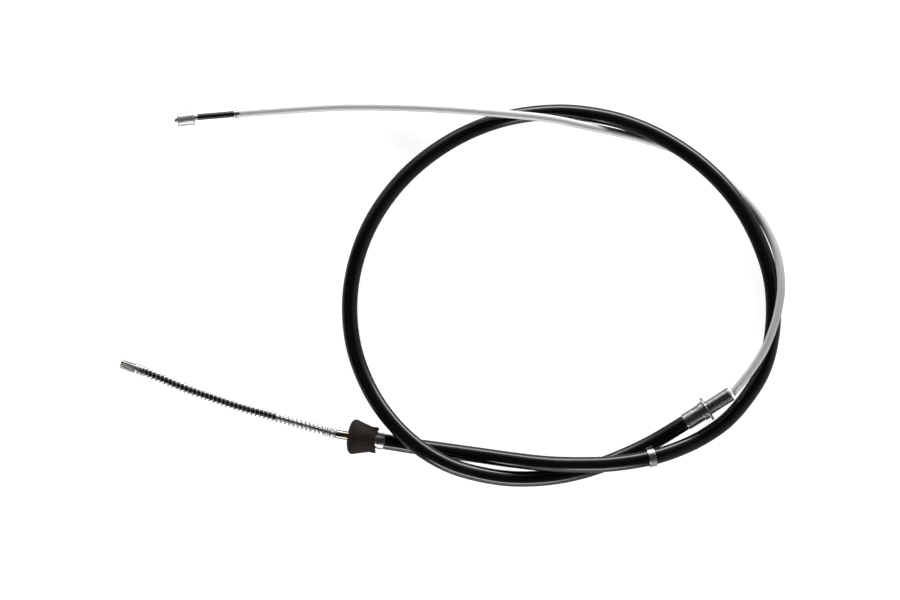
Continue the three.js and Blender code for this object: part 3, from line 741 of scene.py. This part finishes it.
crimp = LEVER_FERRULE_CRIMP_LENGTH
wire_bore = LEVER_FERRULE_WIRE_BORE / 2
lever_ferrule_length = crimp + LEVER_FERRULE_COLLAR_LENGTH
crimp_radius = LEVER_FERRULE_DIAMETER / 2
collar_radius = LEVER_FERRULE_COLLAR_DIAMETER / 2
tube_seat = LEVER_TUBE_DIAMETER / 2 + TUBE_FIT
lever_ferrule = turned(
    "lever_ferrule",
    [(0, ferrule_bore), (0, crimp_radius), (3.5, crimp_radius), (7, crimp_radius), (9, crimp_radius),
     (crimp, crimp_radius), (crimp, collar_radius), (lever_ferrule_length, collar_radius),
     (lever_ferrule_length, tube_seat), (crimp, tube_seat), (crimp, wire_bore),
     (crimp - FERRULE_END_WALL, wire_bore), (crimp - FERRULE_END_WALL, ferrule_bore)],
    LEVER_FERRULE_FROM, lever_ferrule_length, 0.3, crimp_marks,
)
finish_piece(lever_ferrule, bright_steel, ["lever_end_ferrule"], "conduit")

flange_radius = FLANGE_DIAMETER / 2
flange = turned(
    "flange",
    [(0, tube_seat), (0, flange_radius), (FLANGE_THICKNESS, flange_radius), (FLANGE_THICKNESS, tube_seat)],
    FLANGE_FROM, FLANGE_THICKNESS, 0.2, None, WIDE_TURNED_SIDES,
)
finish_piece(flange, bright_steel, ["lever_end_flange"], "conduit")

lever_tube_length = LEVER_TUBE_TO - LEVER_TUBE_FROM
lever_tube_radius = LEVER_TUBE_DIAMETER / 2
lever_tube = turned(
    "lever_tube",
    [(0, lever_tube_radius - LEVER_TUBE_WALL), (0, lever_tube_radius),
     (lever_tube_length, lever_tube_radius), (lever_tube_length, lever_tube_radius - LEVER_TUBE_WALL)],
    LEVER_TUBE_FROM, lever_tube_length, 0.3,
)
finish_piece(lever_tube, smooth_steel, ["lever_end_guide_tube"], "conduit")

bush_length = BUSH_TO - BUSH_FROM
head_from = BUSH_HEAD_FROM - BUSH_FROM
bush = turned(
    "bush",
    [(0, BUSH_BORE / 2), (0, BUSH_STEM_DIAMETER / 2), (head_from, BUSH_STEM_DIAMETER / 2),
     (head_from, BUSH_DIAMETER / 2), (bush_length, BUSH_DIAMETER / 2), (bush_length, BUSH_BORE / 2)],
    BUSH_FROM, bush_length, 0.25,
)
finish_piece(bush, white_bush, ["lever_end_bush"], "conduit")

# The coated wire, a free cord from the bush to the collar
coating = round_cord(
    "coating", BUSH_FROM, COATING_TO, COATING_DIAMETER, COATING_STEP, COATING_SIDES, dish=0.25
)
finish_piece(coating, pale_coating, ["wire_coating"])
hidden_coating = round_cord(
    "hidden_coating", COATING_FROM, BUSH_FROM, COATING_DIAMETER, HIDDEN_COATING_STEP, HIDDEN_COATING_SIDES
)
finish_piece(hidden_coating, pale_coating, ["wire_coating"], "conduit")
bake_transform(coating)


def grooved(distance, radii, angle):
    grooves = sum(np.exp(-(((distance - at) / COLLAR_GROOVE_REACH) ** 2)) for at in COLLAR_GROOVES_AT)
    outer = radii > WIRE_DIAMETER / 2 + 0.5
    return np.where(outer, radii - COLLAR_GROOVE_DEPTH * grooves, radii), np.zeros_like(radii)


collar_outer = COLLAR_DIAMETER / 2
collar = turned(
    "end_collar",
    [(0, nipple_bore)] + [(x, collar_outer) for x in np.linspace(0, COLLAR_LENGTH, 15)]
    + [(COLLAR_LENGTH, nipple_bore)],
    COLLAR_FROM, COLLAR_LENGTH, 0.12, grooved,
)
finish_piece(collar, bright_steel, ["coating_end_collar"], "lever_end")

lever_sleeve = round_cord(
    "lever_sleeve", LEVER_SLEEVE_FROM, LEVER_SLEEVE_TO, LEVER_SLEEVE_DIAMETER,
    SLEEVE_STEP, LEVER_SLEEVE_SIDES, dish=0.25,
)
finish_piece(lever_sleeve, black_sleeve, ["lever_end_sleeve"], "lever_end")

nipple_radius = LEVER_NIPPLE_DIAMETER / 2
nipple_rim = LEVER_NIPPLE_RIM_DIAMETER / 2
lever_nipple = turned(
    "lever_nipple",
    [(LEVER_NIPPLE_COUNTERSINK, nipple_bore), (0, nipple_bore + LEVER_NIPPLE_COUNTERSINK), (0, nipple_rim),
     (LEVER_NIPPLE_RIM_LENGTH, nipple_rim), (LEVER_NIPPLE_RIM_LENGTH, nipple_radius),
     (LEVER_NIPPLE_LENGTH - LEVER_NIPPLE_CHAMFER, nipple_radius),
     (LEVER_NIPPLE_LENGTH, nipple_radius - LEVER_NIPPLE_CHAMFER), (LEVER_NIPPLE_LENGTH, nipple_bore)],
    LEVER_NIPPLE_FROM, LEVER_NIPPLE_LENGTH, 0.3,
)
finish_piece(lever_nipple, nipple_steel, ["lever_end_nipple"], "lever_end")


# The floor
FLOOR_REACH = 3.0
FLOOR_TONE = 0.52
FLOOR_GLOW = 0.84
floor_mesh = bpy.data.meshes.new("floor")
corners = [(x * FLOOR_REACH, y * FLOOR_REACH, 0.0) for x, y in ((-1, -1), (1, -1), (1, 1), (-1, 1))]
floor_mesh.from_pydata(corners, [], [(0, 1, 2, 3)])
floor = bpy.data.objects.new("floor", floor_mesh)
bpy.context.scene.collection.objects.link(floor)


def floor_material():
    """A pale floor with a glow that only the camera sees, which makes it white."""
    shader = Shader("floor_white")
    shader.set(Base_Color=(*grey(FLOOR_TONE), 1.0), Roughness=0.22)
    shader.surface.inputs["Specular IOR Level"].default_value = 0.3
    seen = shader.node("ShaderNodeLightPath").outputs["Is Camera Ray"]
    glow = shader.range(seen, 0.0, FLOOR_GLOW, 0.0, 1.0)
    shader.surface.inputs["Emission Color"].default_value = (1.0, 1.0, 1.0, 1.0)
    shader.link(glow, shader.surface.inputs["Emission Strength"])
    return shader.material


floor.data.materials.append(floor_material())

# Soft studio light: windows in a dark room. A bright low one and a dim tall one are to the north, a narrow
# one to the south and a dim wide one to the east. Each has its strength, the side that its bearing is
# measured from, and its bearing and height in degrees, as where it starts, where it ends and how softly.
WINDOWS = [
    (8.0, "north", (-26, 52, 12), (-20, 15.5, 0.8)),
    (0.4, "north", (-62, 60, 10), (-20, 38, 8)),
    (7.5, "south", (-18, 12, 8), (8, 23, 2)),
    (0.22, "north", (60, 150, 25), (-20, 45, 20)),
]
CEILING_LIGHT = 0.015
SIDE_WATTS = {0: 42.0, 90: 6.0, 180: 40.0, 270: 6.0}
SIDE_ELEVATION = 10
PANEL_DISTANCE = 1.5
PANEL_WIDTH = 1.2
PANEL_HEIGHT = 0.35


def studio_light():
    world = bpy.data.worlds.new("studio")
    world.use_nodes = True
    tree = world.node_tree
    nodes = tree.nodes

    def math_node(operation, a, b=None):
        node = nodes.new("ShaderNodeMath")
        node.operation = operation
        for value, socket in ((a, node.inputs[0]), (b, node.inputs[1])):
            if isinstance(value, (int, float)):
                socket.default_value = value
            elif value is not None:
                tree.links.new(value, socket)
        return node.outputs[0]

    def fade(value, low, high):
        node = nodes.new("ShaderNodeMapRange")
        node.interpolation_type = "SMOOTHSTEP"
        node.inputs["From Min"].default_value = low
        node.inputs["From Max"].default_value = high
        tree.links.new(value, node.inputs["Value"])
        return node.outputs["Result"]

    def between(value, low, high, soft):
        low, high, soft = (math.radians(angle) for angle in (low, high, soft))
        rising = fade(value, low - soft, low + soft)
        falling = fade(value, high + soft, high - soft)
        return math_node("MULTIPLY", rising, falling)

    direction = nodes.new("ShaderNodeSeparateXYZ")
    coordinates = nodes.new("ShaderNodeTexCoord")
    tree.links.new(coordinates.outputs["Generated"], direction.inputs["Vector"])
    x, y, z = (direction.outputs[k] for k in "XYZ")
    height = math_node("ARCSINE", z)
    bearing_from = {
        "north": math_node("ARCTAN2", x, y),
        "south": math_node("ARCTAN2", x, math_node("MULTIPLY", y, -1.0)),
    }
    total = CEILING_LIGHT
    for strength, side, bearing_reach, height_reach in WINDOWS:
        shape = math_node(
            "MULTIPLY", between(bearing_from[side], *bearing_reach), between(height, *height_reach)
        )
        total = math_node("ADD", math_node("MULTIPLY", shape, strength), total)
    tree.links.new(total, nodes["Background"].inputs["Strength"])
    nodes["Background"].inputs["Color"].default_value = (1.0, 1.0, 1.0, 1.0)
    return world


bpy.context.scene.world = studio_light()


def soft_panel(name, bearing, elevation, watts):
    """A broad soft light, aimed at the cable, that isn't mirrored in the glossy surfaces."""
    data = bpy.data.lights.new(name, "AREA")
    data.shape = "RECTANGLE"
    data.size = PANEL_WIDTH
    data.size_y = PANEL_HEIGHT
    data.energy = watts
    panel = bpy.data.objects.new(name, data)
    turn, lift = math.radians(bearing), math.radians(elevation)
    panel.location = (
        PANEL_DISTANCE * math.sin(turn) * math.cos(lift),
        PANEL_DISTANCE * math.cos(turn) * math.cos(lift),
        PANEL_DISTANCE * math.sin(lift),
    )
    panel.rotation_euler = (math.pi / 2 - lift, 0.0, math.pi - turn)
    panel.visible_glossy = False
    panel.visible_camera = False
    bpy.context.scene.collection.objects.link(panel)


for bearing, watts in SIDE_WATTS.items():
    soft_panel(f"side_{bearing}", bearing, SIDE_ELEVATION, watts)

bpy.context.scene.view_settings.view_transform = "Standard"
